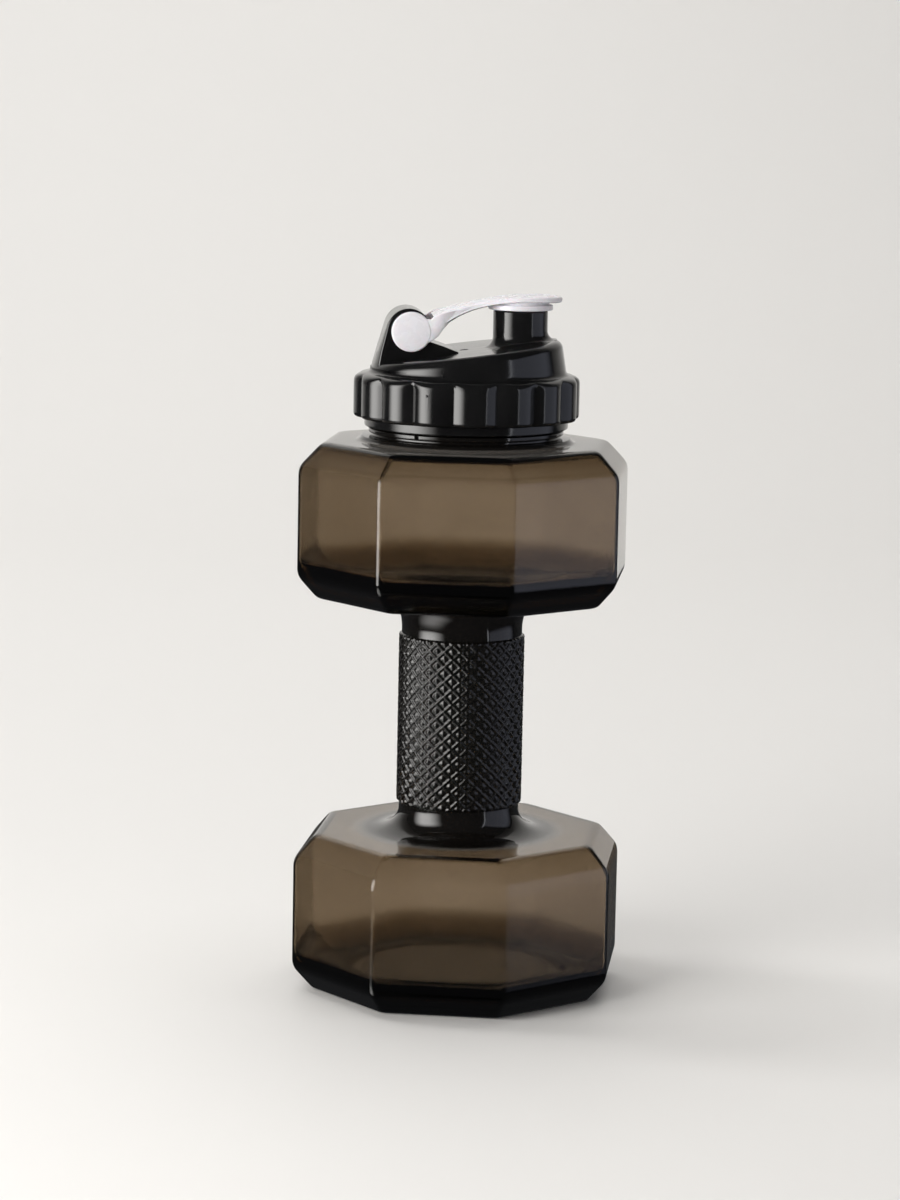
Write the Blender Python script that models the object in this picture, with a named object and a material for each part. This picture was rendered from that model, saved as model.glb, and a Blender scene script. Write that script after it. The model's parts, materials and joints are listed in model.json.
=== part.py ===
"""Dumbbell-shaped shaker bottle: octagonal blow-moulded body, screw lid with a chug spout, flip cap.

Metres, +Z up. The origin is the centre of the base, on the bottle's axis.
The body's flats face along X and Y. The lid is screwed home at LID_YAW, with its hinge towards -X
and its spout towards +X of the lid's own frame.
"""

import math

import bmesh
import bpy
from mathutils import Euler, Matrix, Vector

TAU = 2 * math.pi

# Body: two octagonal chambers joined by a hollow handle, and a round neck on top.
CORNER_RADIUS = 0.0735
CHAMFER_RADIUS = 0.0642
CHAMFER_HEIGHT = 0.0104
LOWER_TOP = 0.0682
UPPER_BOTTOM = 0.1702
UPPER_TOP = 0.2373
HANDLE_RADIUS = 0.0260
HANDLE_FLARE = 0.0095
GRIP_RADIUS = 0.0273
GRIP_BOTTOM = 0.0805
GRIP_TOP = 0.1542
CHAMBER_WALL = 0.0016
HANDLE_WALL = 0.0042
FOOT_INNER_RADIUS = 0.0480
PUNT_DEPTH = 0.0030

# Neck finish.
NECK_RADIUS = 0.0403
NECK_WALL = 0.0023
NECK_TOP = 0.2616
BASE_BEAD_RADIUS = 0.0437
BASE_BEAD_TOP = 0.2392
NECK_BEAD_RADIUS = 0.0415
NECK_BEAD_BOTTOM = 0.2406
NECK_BEAD_TOP = 0.2430

# Two-start thread: the lid's ridges lie just below the neck's.
THREAD_STARTS = 2
THREAD_LEAD = 0.0100
THREAD_ARC = math.radians(160)
THREAD_FOOT = 0.0020
THREAD_CREST = 0.0011
NECK_THREAD_RADIUS = 0.0418
NECK_THREAD_BOTTOM = 0.2500
LID_THREAD_RADIUS = 0.0409
LID_THREAD_DROP = 0.0023

# Screw lid.
LID_YAW = math.radians(10.7)
SKIRT_BOTTOM = 0.2435
SKIRT_INNER_RADIUS = 0.0423
SKIRT_LIP_RADIUS = 0.0435
RING_BOTTOM = 0.2472
RING_TOP = 0.2639
RING_RADIUS = 0.0483
LOBES = 16
LOBE_DEPTH = 0.0028
SHOULDER_RADIUS = 0.0429
SHOULDER_TOP = 0.2664
DOME_X = 0.0004
DOME_RADIUS = 0.0420
DOME_TAPER = 0.165
DOME_EDGE = 0.0032
DOME_PLANE_HEIGHT = 0.2763
DOME_PLANE_SLOPE = 0.130
DOME_WALL = 0.0022
SEAL_SEAT = 0.2642
GRID_RING_RADIUS = 0.0356
GRID_RING_WALL = 0.0014
GRID_RING_BOTTOM = 0.2585

# Spout and vent on the lid's sloping top.
SPOUT_X = 0.0223
SPOUT_RADIUS = 0.01165
SPOUT_BORE = 0.0100
SPOUT_TOP = 0.2933
SPOUT_FLARE = 0.0034
VENT_X = -0.0015
VENT_RADIUS = 0.0019
VENT_BOSS_RADIUS = 0.0052

# Hinge block of the lid, and the flip cap that turns on it.
HINGE_X = -0.0250
HINGE_Z = 0.2845
LUG_NOSE_X = -0.0259
LUG_NOSE_Z = 0.2848
LUG_RADIUS = 0.0093
LUG_HALF_WIDTH = 0.0128
LUG_TIP_X = -0.0042
LUG_SHELF_X = -0.0168
LUG_SHELF_Z = 0.2801
PIN_RADIUS = 0.0022
PIN_BORE = 0.0025
PIN_HALF_LENGTH = 0.0147
EAR_RADIUS = 0.0084
EAR_INNER_Y = 0.0131
EAR_OUTER_Y = 0.0162
ARM_CLEAR_RADIUS = 0.0112
ARM_WAIST = 0.0114
PLATE_HALF_WIDTH = 0.0142
PLATE_LENGTH = 0.0178
FLANGE_RADIUS = 0.0138
FLANGE_BOTTOM = 0.2936
FLANGE_TOP = 0.2956
PLATE_LOW = 0.2969
PLATE_TOP = 0.3000
PLUG_RADIUS = 0.0090
PLUG_BOTTOM = 0.2895
PLUG_BORE = 0.0062
SEAL_GROOVE_RADIUS = 0.0076
SEAL_GROOVE_BOTTOM = 0.2906
SEAL_GROOVE_TOP = 0.2924

# Small inner pieces.
GAP = 0.0003
SPOUT_SEAL_RADIUS = 0.00935
GASKET_INNER = 0.0383
GASKET_OUTER = 0.0419
GRID_RADIUS = 0.0352
GRID_HEIGHT = 0.0045
GRID_FLOOR = 0.0014
GRID_PITCH = 0.0056
GRID_HOLE = 0.0042
VALVE_FLANGE_RADIUS = 0.0036
VALVE_FLANGE = 0.0010
VALVE_STEM_RADIUS = 0.0024
VALVE_DROP = 0.0055

BODY_SIDES = 48
LID_SIDES = 64
SMALL_SIDES = 32


def clear_scene():
    for obj in list(bpy.data.objects):
        bpy.data.objects.remove(obj)


def material(name, colour, roughness, transmission=0.0):
    mat = bpy.data.materials.new(name)
    mat.use_nodes = True
    shader = mat.node_tree.nodes["Principled BSDF"]
    shader.inputs["Base Color"].default_value = (*colour, 1.0)
    shader.inputs["Roughness"].default_value = roughness
    shader.inputs["Metallic"].default_value = 0.0
    shader.inputs["Transmission Weight"].default_value = transmission
    return mat


def empty(name, location=(0, 0, 0), rotation=(0, 0, 0), parent=None):
    obj = bpy.data.objects.new(name, None)
    obj.location = location
    obj.rotation_euler = rotation
    obj.parent = parent
    bpy.context.scene.collection.objects.link(obj)
    return obj


def mesh_object(name, bm, mat=None, parent=None, helper=False):
    """The bmesh as an object in its parent's frame; a helper only shapes another object."""
    bmesh.ops.recalc_face_normals(bm, faces=bm.faces)
    mesh = bpy.data.meshes.new(name)
    bm.to_mesh(mesh)
    bm.free()
    mesh.shade_smooth()
    mesh.set_sharp_from_angle(angle=math.radians(30))
    obj = bpy.data.objects.new(name, mesh)
    obj.parent = parent
    bpy.context.scene.collection.objects.link(obj)
    if mat:
        mesh.materials.append(mat)
    if helper:
        obj.hide_render = True
        obj.display_type = "WIRE"
    return obj


def boolean(obj, other, operation):
    modifier = obj.modifiers.new(f"{operation.lower()} {other.name}", "BOOLEAN")
    modifier.operation = operation
    modifier.solver = "EXACT"
    modifier.object = other


def loft(rings):
    """A closed solid through rings of equal length, with a flat cap on the first and the last."""
    bm = bmesh.new()
    loops = [[bm.verts.new(p) for p in ring] for ring in rings]
    for a, b in zip(loops, loops[1:]):
        for i in range(len(a)):
            j = (i + 1) % len(a)
            bm.faces.new((a[i], a[j], b[j], b[i]))
    bm.faces.new(loops[0])
    bm.faces.new(list(reversed(loops[-1])))
    return bm


def ring_band(rings):
    """A closed tube-like solid: the last ring joins the first."""
    bm = bmesh.new()
    loops = [[bm.verts.new(p) for p in ring] for ring in rings]
    for a, b in zip(loops, loops[1:] + loops[:1]):
        for i in range(len(a)):
            j = (i + 1) % len(a)
            bm.faces.new((a[i], a[j], b[j], b[i]))
    return bm


def circle(radius, z, sides, x=0.0):
    return [
        Vector((x + radius * math.cos(TAU * i / sides), radius * math.sin(TAU * i / sides), z))
        for i in range(sides)
    ]


def octagon(corner_radius, z, sides):
    """An octagon with flats across X and Y, sampled at the same angles as a circle of so many sides."""
    apothem = corner_radius * math.cos(math.pi / 8)
    ring = []
    for i in range(sides):
        angle = TAU * i / sides
        off_flat = (angle + math.pi / 8) % (math.pi / 4) - math.pi / 8
        radius = apothem / math.cos(off_flat)
        ring.append(Vector((radius * math.cos(angle), radius * math.sin(angle), z)))
    return ring


def turned(profile, sides, x=0.0):
    """A capped solid of revolution about a vertical axis at x, through (radius, z) points."""
    return loft([circle(radius, z, sides, x) for radius, z in profile])


def extruded(outline, y0, y1):
    """An outline of (x, z) points pulled along Y from y0 to y1."""
    return loft([[Vector((x, y, z)) for x, z in outline] for y in (y0, y1)])


def quarter(centre, radii, start, steps):
    """Points on a quarter ellipse in (radius, z), from the angle start, in steps."""
    points = []
    for k in range(steps + 1):
        angle = start + math.pi / 2 * k / steps
        points.append((centre[0] + radii[0] * math.cos(angle), centre[1] + radii[1] * math.sin(angle)))
    return points


def bezier(points, t):
    a, b, c, d = (Vector(p) for p in points)
    s = 1 - t
    return a * s**3 + b * (3 * s * s * t) + c * (3 * s * t * t) + d * t**3


def smooth(t):
    t = min(1.0, max(0.0, t))
    return t * t * (3 - 2 * t)


def thread_ridge(root_radius, crest_radius, bottom, start):
    """One start of a right-hand thread, a tapered ridge from root_radius to crest_radius."""
    steps = 20
    bm = bmesh.new()
    sections = []
    for k in range(steps + 1):
        share = k / steps
        angle = start + THREAD_ARC * share
        z = bottom + THREAD_LEAD * THREAD_ARC / TAU * share
        lead_in = min(1.0, 0.25 + 5 * min(share, 1 - share))
        crest = root_radius + (crest_radius - root_radius) * lead_in
        corners = (
            (root_radius, -THREAD_FOOT / 2),
            (crest, -THREAD_CREST / 2),
            (crest, THREAD_CREST / 2),
            (root_radius, THREAD_FOOT / 2),
        )
        sections.append(
            [bm.verts.new((r * math.cos(angle), r * math.sin(angle), z + dz)) for r, dz in corners]
        )
    for a, b in zip(sections, sections[1:]):
        for i in range(4):
            j = (i + 1) % 4
            bm.faces.new((a[i], a[j], b[j], b[i]))
    bm.faces.new(sections[0])
    bm.faces.new(list(reversed(sections[-1])))
    return bm


def flare_profile(radius, z_flat, z_round, flare, steps=5):
    """A concave fillet from a flat at z_flat, radius + flare, to a tube of that radius at z_round."""
    height = abs(z_round - z_flat)
    up = 1 if z_round > z_flat else -1
    points = []
    for k in range(steps + 1):
        angle = math.pi / 2 * k / steps
        points.append(
            (radius + flare * (1 - math.sin(angle)), z_round - up * height * math.cos(angle))
        )
    return points


def bottle_body(mat):
    """One blow-moulded shell: outside from the punt up, over the neck's rim, and down the inside."""
    n = BODY_SIDES

    def rounds(points):
        return [circle(r, z, n) for r, z in points]

    flare_low = flare_profile(HANDLE_RADIUS, LOWER_TOP, LOWER_TOP + 0.0098, HANDLE_FLARE)
    flare_high = flare_profile(HANDLE_RADIUS, UPPER_BOTTOM, UPPER_BOTTOM - 0.0098, HANDLE_FLARE)
    grip_step = 0.0008
    outside = rounds([(FOOT_INNER_RADIUS - 0.004, PUNT_DEPTH), (FOOT_INNER_RADIUS, 0)])
    outside += [
        octagon(CHAMFER_RADIUS, 0, n),
        octagon(CORNER_RADIUS, CHAMFER_HEIGHT, n),
        octagon(CORNER_RADIUS, LOWER_TOP - CHAMFER_HEIGHT, n),
        octagon(CHAMFER_RADIUS, LOWER_TOP, n),
    ]
    outside += rounds(flare_low)
    outside += rounds(
        [
            (HANDLE_RADIUS, GRIP_BOTTOM),
            (GRIP_RADIUS, GRIP_BOTTOM + grip_step),
            (GRIP_RADIUS, GRIP_TOP - grip_step),
            (HANDLE_RADIUS, GRIP_TOP),
        ]
    )
    outside += rounds(reversed(flare_high))
    outside += [
        octagon(CHAMFER_RADIUS, UPPER_BOTTOM, n),
        octagon(CORNER_RADIUS, UPPER_BOTTOM + CHAMFER_HEIGHT, n),
        octagon(CORNER_RADIUS, UPPER_TOP - CHAMFER_HEIGHT, n),
        octagon(CHAMFER_RADIUS, UPPER_TOP, n),
    ]
    outside += rounds(
        [
            (BASE_BEAD_RADIUS + 0.0012, UPPER_TOP),
            (BASE_BEAD_RADIUS, UPPER_TOP + 0.0006),
            (BASE_BEAD_RADIUS, BASE_BEAD_TOP),
            (NECK_RADIUS, BASE_BEAD_TOP + 0.0005),
            (NECK_RADIUS, NECK_BEAD_BOTTOM),
            (NECK_BEAD_RADIUS, NECK_BEAD_BOTTOM + 0.0004),
            (NECK_BEAD_RADIUS, NECK_BEAD_TOP - 0.0004),
            (NECK_RADIUS, NECK_BEAD_TOP),
            (NECK_RADIUS, NECK_TOP - 0.0005),
            (NECK_RADIUS - 0.0005, NECK_TOP),
        ]
    )

    wall = CHAMBER_WALL
    corner_wall = wall / math.cos(math.pi / 8)
    slope_wall = 0.7 * wall
    bore = HANDLE_RADIUS - HANDLE_WALL
    neck_bore = NECK_RADIUS - NECK_WALL
    inner_high = flare_profile(bore, UPPER_BOTTOM + wall, UPPER_BOTTOM - 0.0098, HANDLE_FLARE)
    inner_low = flare_profile(bore, LOWER_TOP - wall, LOWER_TOP + 0.0098, HANDLE_FLARE)
    inside = rounds(
        [
            (neck_bore, NECK_TOP),
            (neck_bore, UPPER_TOP + 0.004),
            (neck_bore + 0.003, UPPER_TOP - wall),
        ]
    )
    inside += [
        octagon(CHAMFER_RADIUS - slope_wall, UPPER_TOP - wall, n),
        octagon(CORNER_RADIUS - corner_wall, UPPER_TOP - CHAMFER_HEIGHT - 0.0004, n),
        octagon(CORNER_RADIUS - corner_wall, UPPER_BOTTOM + CHAMFER_HEIGHT + 0.0004, n),
        octagon(CHAMFER_RADIUS - slope_wall, UPPER_BOTTOM + wall, n),
    ]
    inside += rounds(inner_high)
    inside += rounds(reversed(inner_low))
    inside += [
        octagon(CHAMFER_RADIUS - slope_wall, LOWER_TOP - wall, n),
        octagon(CORNER_RADIUS - corner_wall, LOWER_TOP - CHAMFER_HEIGHT - 0.0004, n),
        octagon(CORNER_RADIUS - corner_wall, CHAMFER_HEIGHT + 0.0004, n),
        octagon(CHAMFER_RADIUS - slope_wall, wall, n),
    ]
    punt_edge = FOOT_INNER_RADIUS - 0.0035
    inside += rounds([(FOOT_INNER_RADIUS + 0.0005, wall), (punt_edge, wall + PUNT_DEPTH)])

    body = mesh_object("bottle_body", loft(outside + inside), mat)
    for k in range(THREAD_STARTS):
        ridge = thread_ridge(
            NECK_RADIUS - 0.0008, NECK_THREAD_RADIUS, NECK_THREAD_BOTTOM, TAU * k / THREAD_STARTS
        )
        boolean(body, mesh_object(f"neck_thread_{k + 1}", ridge, helper=True), "UNION")
    return body


def lobe_ring(radius, z, depth):
    """A ring of convex lobes whose crests touch the radius and whose valleys lie depth below it."""
    ring = []
    for i in range(LID_SIDES):
        angle = TAU * i / LID_SIDES
        across = ((i * LOBES / LID_SIDES + 0.5) % 1.0) * 2 - 1
        r = radius - depth * across * across
        ring.append(Vector((r * math.cos(angle), r * math.sin(angle), z)))
    return ring


def dome_ring(base_radius, drop, inset=0.0):
    """Where the dome's cone meets a plane that lies drop below its sloping top."""
    height = DOME_PLANE_HEIGHT - drop
    ring = []
    for i in range(LID_SIDES):
        angle = TAU * i / LID_SIDES
        radius = base_radius - DOME_TAPER * (height + DOME_PLANE_SLOPE * DOME_X - SHOULDER_TOP)
        radius /= 1 + DOME_TAPER * DOME_PLANE_SLOPE * math.cos(angle)
        radius -= inset
        x = DOME_X + radius * math.cos(angle)
        ring.append(Vector((x, radius * math.sin(angle), height + DOME_PLANE_SLOPE * x)))
    return ring


def plane_z(x):
    """Height of the dome's sloping top at x."""
    return DOME_PLANE_HEIGHT + DOME_PLANE_SLOPE * x


def lug_outline():
    """Side view of the hinge block: rear face, round nose, sloping shelf, and a foot sunk into the dome."""
    sunk = 0.0012
    nose = Vector((LUG_NOSE_X, LUG_NOSE_Z))
    rear = Vector((-0.0377, 0.2780))
    to_nose = nose - rear
    tangent = math.atan2(to_nose.y, to_nose.x) + math.asin(LUG_RADIUS / to_nose.length)
    first = tangent + math.pi / 2
    shelf = Vector((LUG_SHELF_X, LUG_SHELF_Z)) - nose
    last = math.atan2(shelf.y, shelf.x)
    steps = 14
    outline = [(-0.0420, plane_z(-0.0420) - sunk), tuple(rear)]
    for k in range(steps):
        angle = first + (last - first) * k / steps
        outline.append((nose.x + LUG_RADIUS * math.cos(angle), nose.y + LUG_RADIUS * math.sin(angle)))
    outline.append((LUG_SHELF_X, LUG_SHELF_Z))
    outline.append((LUG_TIP_X, plane_z(LUG_TIP_X) + 0.0002))
    outline.append((LUG_TIP_X, plane_z(LUG_TIP_X) - sunk))
    return outline


def screw_lid(mat, frame, vent_frame):
    """One moulded lid: lobed ring, skirt, dome, spout, hinge block, thread and seats."""
    n = LID_SIDES
    taper_rise = 0.0012
    skirt = [
        (SKIRT_LIP_RADIUS, RING_BOTTOM),
        (SKIRT_LIP_RADIUS, SKIRT_BOTTOM + 0.0004),
        (SKIRT_LIP_RADIUS - 0.0004, SKIRT_BOTTOM),
        (SKIRT_INNER_RADIUS, SKIRT_BOTTOM),
        (SKIRT_INNER_RADIUS, SEAL_SEAT),
        (GRID_RING_RADIUS + GRID_RING_WALL, SEAL_SEAT),
        (GRID_RING_RADIUS + GRID_RING_WALL, GRID_RING_BOTTOM),
        (GRID_RING_RADIUS, GRID_RING_BOTTOM),
        (GRID_RING_RADIUS, SHOULDER_TOP),
    ]
    rings = [
        dome_ring(DOME_RADIUS, 0, inset=DOME_EDGE),
        dome_ring(DOME_RADIUS, 0.13 * DOME_EDGE, inset=0.5 * DOME_EDGE),
        dome_ring(DOME_RADIUS, 0.50 * DOME_EDGE, inset=0.13 * DOME_EDGE),
        dome_ring(DOME_RADIUS, DOME_EDGE),
        circle(DOME_RADIUS, SHOULDER_TOP, n, DOME_X),
        circle(SHOULDER_RADIUS, SHOULDER_TOP - 0.0002, n, DOME_X / 2),
        lobe_ring(RING_RADIUS - 0.0008, RING_TOP, 0.7 * LOBE_DEPTH),
        lobe_ring(RING_RADIUS, RING_TOP - 0.0010, LOBE_DEPTH),
        lobe_ring(RING_RADIUS, RING_BOTTOM + 0.0016, LOBE_DEPTH),
        lobe_ring(RING_RADIUS - 0.0020, RING_BOTTOM, 0.5 * LOBE_DEPTH),
    ]
    rings += [circle(r, z, n) for r, z in skirt]
    rings += [
        dome_ring(DOME_RADIUS - 1.6 * DOME_WALL, 0.0042),
        dome_ring(DOME_RADIUS - 1.6 * DOME_WALL, DOME_WALL, inset=taper_rise),
    ]
    lid = mesh_object("screw_lid", loft(rings), mat, frame)

    spout_foot = plane_z(SPOUT_X) - 0.0034
    flare_z = plane_z(SPOUT_X) - 0.0005
    spout_profile = [
        (SPOUT_RADIUS + SPOUT_FLARE, spout_foot),
        (SPOUT_RADIUS + SPOUT_FLARE, flare_z),
        (SPOUT_RADIUS + 0.40 * SPOUT_FLARE, flare_z + 0.0016),
        (SPOUT_RADIUS + 0.10 * SPOUT_FLARE, flare_z + 0.0034),
        (SPOUT_RADIUS, flare_z + 0.0050),
        (SPOUT_RADIUS, SPOUT_TOP - 0.0004),
        (SPOUT_RADIUS - 0.0004, SPOUT_TOP),
    ]
    spout_tube = turned(spout_profile, SMALL_SIDES, SPOUT_X)
    spout_tube = mesh_object("spout_tube", spout_tube, None, frame, True)
    bore_profile = [(SPOUT_BORE, spout_foot - 0.010), (SPOUT_BORE, SPOUT_TOP + 0.003)]
    spout_bore = turned(bore_profile, SMALL_SIDES, SPOUT_X)
    spout_bore = mesh_object("spout_bore", spout_bore, None, frame, True)

    lug = extruded(lug_outline(), -LUG_HALF_WIDTH, LUG_HALF_WIDTH)
    lug = mesh_object("hinge_lug", lug, None, frame, True)
    rise = 0.040
    trim_profile = [(DOME_RADIUS, SHOULDER_TOP), (DOME_RADIUS - DOME_TAPER * rise, SHOULDER_TOP + rise)]
    trim = mesh_object("lug_trim", turned(trim_profile, LID_SIDES, DOME_X), None, frame, True)
    boolean(lug, trim, "INTERSECT")
    pin_bore = extruded(pin_outline(PIN_BORE), -LUG_HALF_WIDTH - 0.002, LUG_HALF_WIDTH + 0.002)
    pin_bore = mesh_object("pin_bore", pin_bore, None, frame, True)

    boss_profile = [(VENT_BOSS_RADIUS, -DOME_WALL - 0.0022), (VENT_BOSS_RADIUS, -0.5 * DOME_WALL)]
    boss = mesh_object("vent_boss", turned(boss_profile, 24), None, vent_frame, True)
    socket_radius = VALVE_FLANGE_RADIUS + GAP
    vent_profile = [
        (socket_radius, -DOME_WALL - 0.004),
        (socket_radius, -DOME_WALL),
        (VENT_RADIUS, -DOME_WALL),
        (VENT_RADIUS, 0.003),
    ]
    vent_hole = mesh_object("vent_hole", turned(vent_profile, 24), None, vent_frame, True)

    boolean(lid, spout_tube, "UNION")
    boolean(lid, lug, "UNION")
    boolean(lid, boss, "UNION")
    boolean(lid, spout_bore, "DIFFERENCE")
    boolean(lid, vent_hole, "DIFFERENCE")
    boolean(lid, pin_bore, "DIFFERENCE")
    for k in range(THREAD_STARTS):
        ridge = thread_ridge(
            SKIRT_INNER_RADIUS + 0.0006,
            LID_THREAD_RADIUS,
            NECK_THREAD_BOTTOM - LID_THREAD_DROP,
            TAU * k / THREAD_STARTS - LID_YAW,
        )
        boolean(lid, mesh_object(f"lid_thread_{k + 1}", ridge, None, frame, True), "UNION")
    return lid


def pin_outline(radius, sides=24):
    """A circle round the hinge axis, as (x, z) points of the lid's frame."""
    return [
        (HINGE_X + radius * math.cos(TAU * i / sides), HINGE_Z + radius * math.sin(TAU * i / sides))
        for i in range(sides)
    ]


def arm_half_width(x):
    """The flip cap in plan: wide at the hinge, a waist, then an oval plate over the spout."""
    if x > SPOUT_X:
        return PLATE_HALF_WIDTH * math.sqrt(max(0.02, 1 - ((x - SPOUT_X) / PLATE_LENGTH) ** 2))
    waist_x = 0.0040
    if x > waist_x:
        return ARM_WAIST + (PLATE_HALF_WIDTH - ARM_WAIST) * smooth((x - waist_x) / (SPOUT_X - waist_x))
    root_x = HINGE_X + 0.0085
    return ARM_WAIST + (EAR_OUTER_Y - ARM_WAIST) * smooth((waist_x - x) / (waist_x - root_x))


def polar(radius, degrees):
    """A point at that radius and angle round the hinge axis, as (x, z)."""
    angle = math.radians(degrees)
    return (HINGE_X + radius * math.cos(angle), HINGE_Z + radius * math.sin(angle))


def arm_stations():
    """(bottom point, top point) pairs along the arm, from the hinge to the thumb tip, as (x, z)."""
    low_end, top_end = 0.0240, 0.0300
    low_curve = (polar(ARM_CLEAR_RADIUS, -6), (-0.0080, 0.2915), (0.0060, 0.2964), (low_end, PLATE_LOW))
    top_curve = (polar(ARM_CLEAR_RADIUS, 35), (-0.0050, 0.2960), (0.0120, PLATE_TOP), (top_end, PLATE_TOP))
    stations = [(bezier(low_curve, k / 12), bezier(top_curve, k / 12)) for k in range(13)]
    tip_x = SPOUT_X + PLATE_LENGTH
    for share in (0.35, 0.65, 0.85, 0.97):
        low = Vector((low_end + (tip_x - 0.0004 - low_end) * share, PLATE_LOW + 0.0002 * share))
        top = Vector((top_end + (tip_x - top_end) * share, PLATE_TOP - 0.0014 * share**2))
        stations.append((low, top))
    return stations


def flip_cap(mat, frame):
    """Arm, two ears that clip over the hinge pin, and a round plug over the spout, moulded in one."""
    rings = []
    for low, top in arm_stations():
        low_width, top_width = arm_half_width(low.x), arm_half_width(top.x)
        shoulder = low.lerp(top, 0.65)
        side_width = low_width * 0.35 + top_width * 0.65
        rings.append(
            [
                Vector((low.x, -low_width, low.y)),
                Vector((low.x, low_width, low.y)),
                Vector((shoulder.x, side_width, shoulder.y)),
                Vector((top.x, 0.72 * top_width, top.y)),
                Vector((top.x, -0.72 * top_width, top.y)),
                Vector((shoulder.x, -side_width, shoulder.y)),
            ]
        )
    cap = mesh_object("flip_cap", loft(rings), mat, frame)

    plug_profile = [
        (0.0120, 0.2976),
        (0.0120, FLANGE_TOP),
        (FLANGE_RADIUS, FLANGE_TOP - 0.0003),
        (FLANGE_RADIUS, FLANGE_BOTTOM),
        (PLUG_RADIUS, FLANGE_BOTTOM),
        (PLUG_RADIUS, SEAL_GROOVE_TOP),
        (SEAL_GROOVE_RADIUS, SEAL_GROOVE_TOP),
        (SEAL_GROOVE_RADIUS, SEAL_GROOVE_BOTTOM),
        (PLUG_RADIUS, SEAL_GROOVE_BOTTOM),
        (PLUG_RADIUS - 0.0005, PLUG_BOTTOM),
        (PLUG_BORE, PLUG_BOTTOM),
        (PLUG_BORE, FLANGE_TOP - 0.0005),
    ]
    plug = turned(plug_profile, SMALL_SIDES, SPOUT_X)
    plug = mesh_object("flip_plug", plug, None, frame, True)
    boolean(cap, plug, "UNION")
    web_points = ((0.0065, -16), (0.0096, -9), (0.0145, 12), (0.0135, 33), (0.0065, 52))
    web_outline = [polar(radius, degrees) for radius, degrees in web_points]
    for side, name in ((-1, "near"), (1, "far")):
        y0, y1 = sorted((side * EAR_INNER_Y, side * EAR_OUTER_Y))
        ear_outline = [polar(EAR_RADIUS, 360 * i / 32) for i in range(32)]
        ear = mesh_object(f"ear_{name}", extruded(ear_outline, y0, y1), None, frame, True)
        web = extruded(web_outline, y0, y1)
        web = mesh_object(f"ear_web_{name}", web, None, frame, True)
        boolean(cap, ear, "UNION")
        boolean(cap, web, "UNION")
        inner, outer = sorted((side * (EAR_INNER_Y - 0.002), side * (PIN_HALF_LENGTH + GAP)))
        socket = extruded(pin_outline(PIN_BORE), inner, outer)
        socket = mesh_object(f"ear_socket_{name}", socket, None, frame, True)
        boolean(cap, socket, "DIFFERENCE")
    return cap


def hinge_pin(mat, frame):
    pin = extruded(pin_outline(PIN_RADIUS), -PIN_HALF_LENGTH, PIN_HALF_LENGTH)
    return mesh_object("hinge_pin", pin, mat, frame)


def spout_seal(mat, frame):
    """A silicone ring in the plug's groove."""
    inner = SEAL_GROOVE_RADIUS + GAP
    low, high = SEAL_GROOVE_BOTTOM + GAP, SEAL_GROOVE_TOP - GAP
    crest = (SPOUT_SEAL_RADIUS, (low + high) / 2)
    profile = [(inner, low), (PLUG_RADIUS, low), crest, (PLUG_RADIUS, high), (inner, high)]
    bm = ring_band([circle(r, z, SMALL_SIDES, SPOUT_X) for r, z in profile])
    return mesh_object("spout_seal", bm, mat, frame)


def lid_gasket(mat):
    """The flat silicone ring between the neck's rim and the lid."""
    low, high = NECK_TOP + GAP, SEAL_SEAT - GAP
    profile = [(GASKET_INNER, low), (GASKET_OUTER, low), (GASKET_OUTER, high), (GASKET_INNER, high)]
    return mesh_object("lid_gasket", ring_band([circle(r, z, BODY_SIDES) for r, z in profile]), mat)


def mixing_grid(mat, frame):
    """A shallow strainer that clips into the lid's inner ring: rim, floor and square holes."""
    low = GRID_RING_BOTTOM + 0.0004
    high = low + GRID_HEIGHT
    rim = 0.0018
    profile = [
        (GRID_RADIUS, low),
        (GRID_RADIUS, high),
        (GRID_RADIUS - rim, high),
        (GRID_RADIUS - rim, low + GRID_FLOOR),
    ]
    grid = mesh_object("mixing_grid", turned(profile, BODY_SIDES), mat, frame)
    bm = bmesh.new()
    reach = GRID_RADIUS - rim - 0.0008
    cells = int(reach / GRID_PITCH) + 1
    size = Vector((GRID_HOLE, GRID_HOLE, 4 * GRID_FLOOR))
    for i in range(-cells, cells + 1):
        for j in range(-cells, cells + 1):
            x, y = i * GRID_PITCH, j * GRID_PITCH
            corner = math.hypot(abs(x) + GRID_HOLE / 2, abs(y) + GRID_HOLE / 2)
            if corner > reach:
                continue
            place = Matrix.Translation((x, y, low + GRID_FLOOR / 2)) @ Matrix.Diagonal((*size, 1))
            bmesh.ops.create_cube(bm, size=1, matrix=place)
    boolean(grid, mesh_object("grid_holes", bm, None, frame, True), "DIFFERENCE")
    return grid


def vent_valve(mat, vent_frame):
    """A silicone valve in the socket below the vent: flange, stem and a closing nose."""
    top = -DOME_WALL - GAP
    profile = [
        (0.0011, top - 0.0030),
        (0.0011, top),
        (VALVE_FLANGE_RADIUS, top),
        (VALVE_FLANGE_RADIUS, top - VALVE_FLANGE),
        (VALVE_STEM_RADIUS, top - VALVE_FLANGE - 0.0002),
        (VALVE_STEM_RADIUS, top - 0.6 * VALVE_DROP),
        (0.0009, top - VALVE_DROP),
    ]
    return mesh_object("vent_valve", turned(profile, 24), mat, vent_frame)


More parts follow.
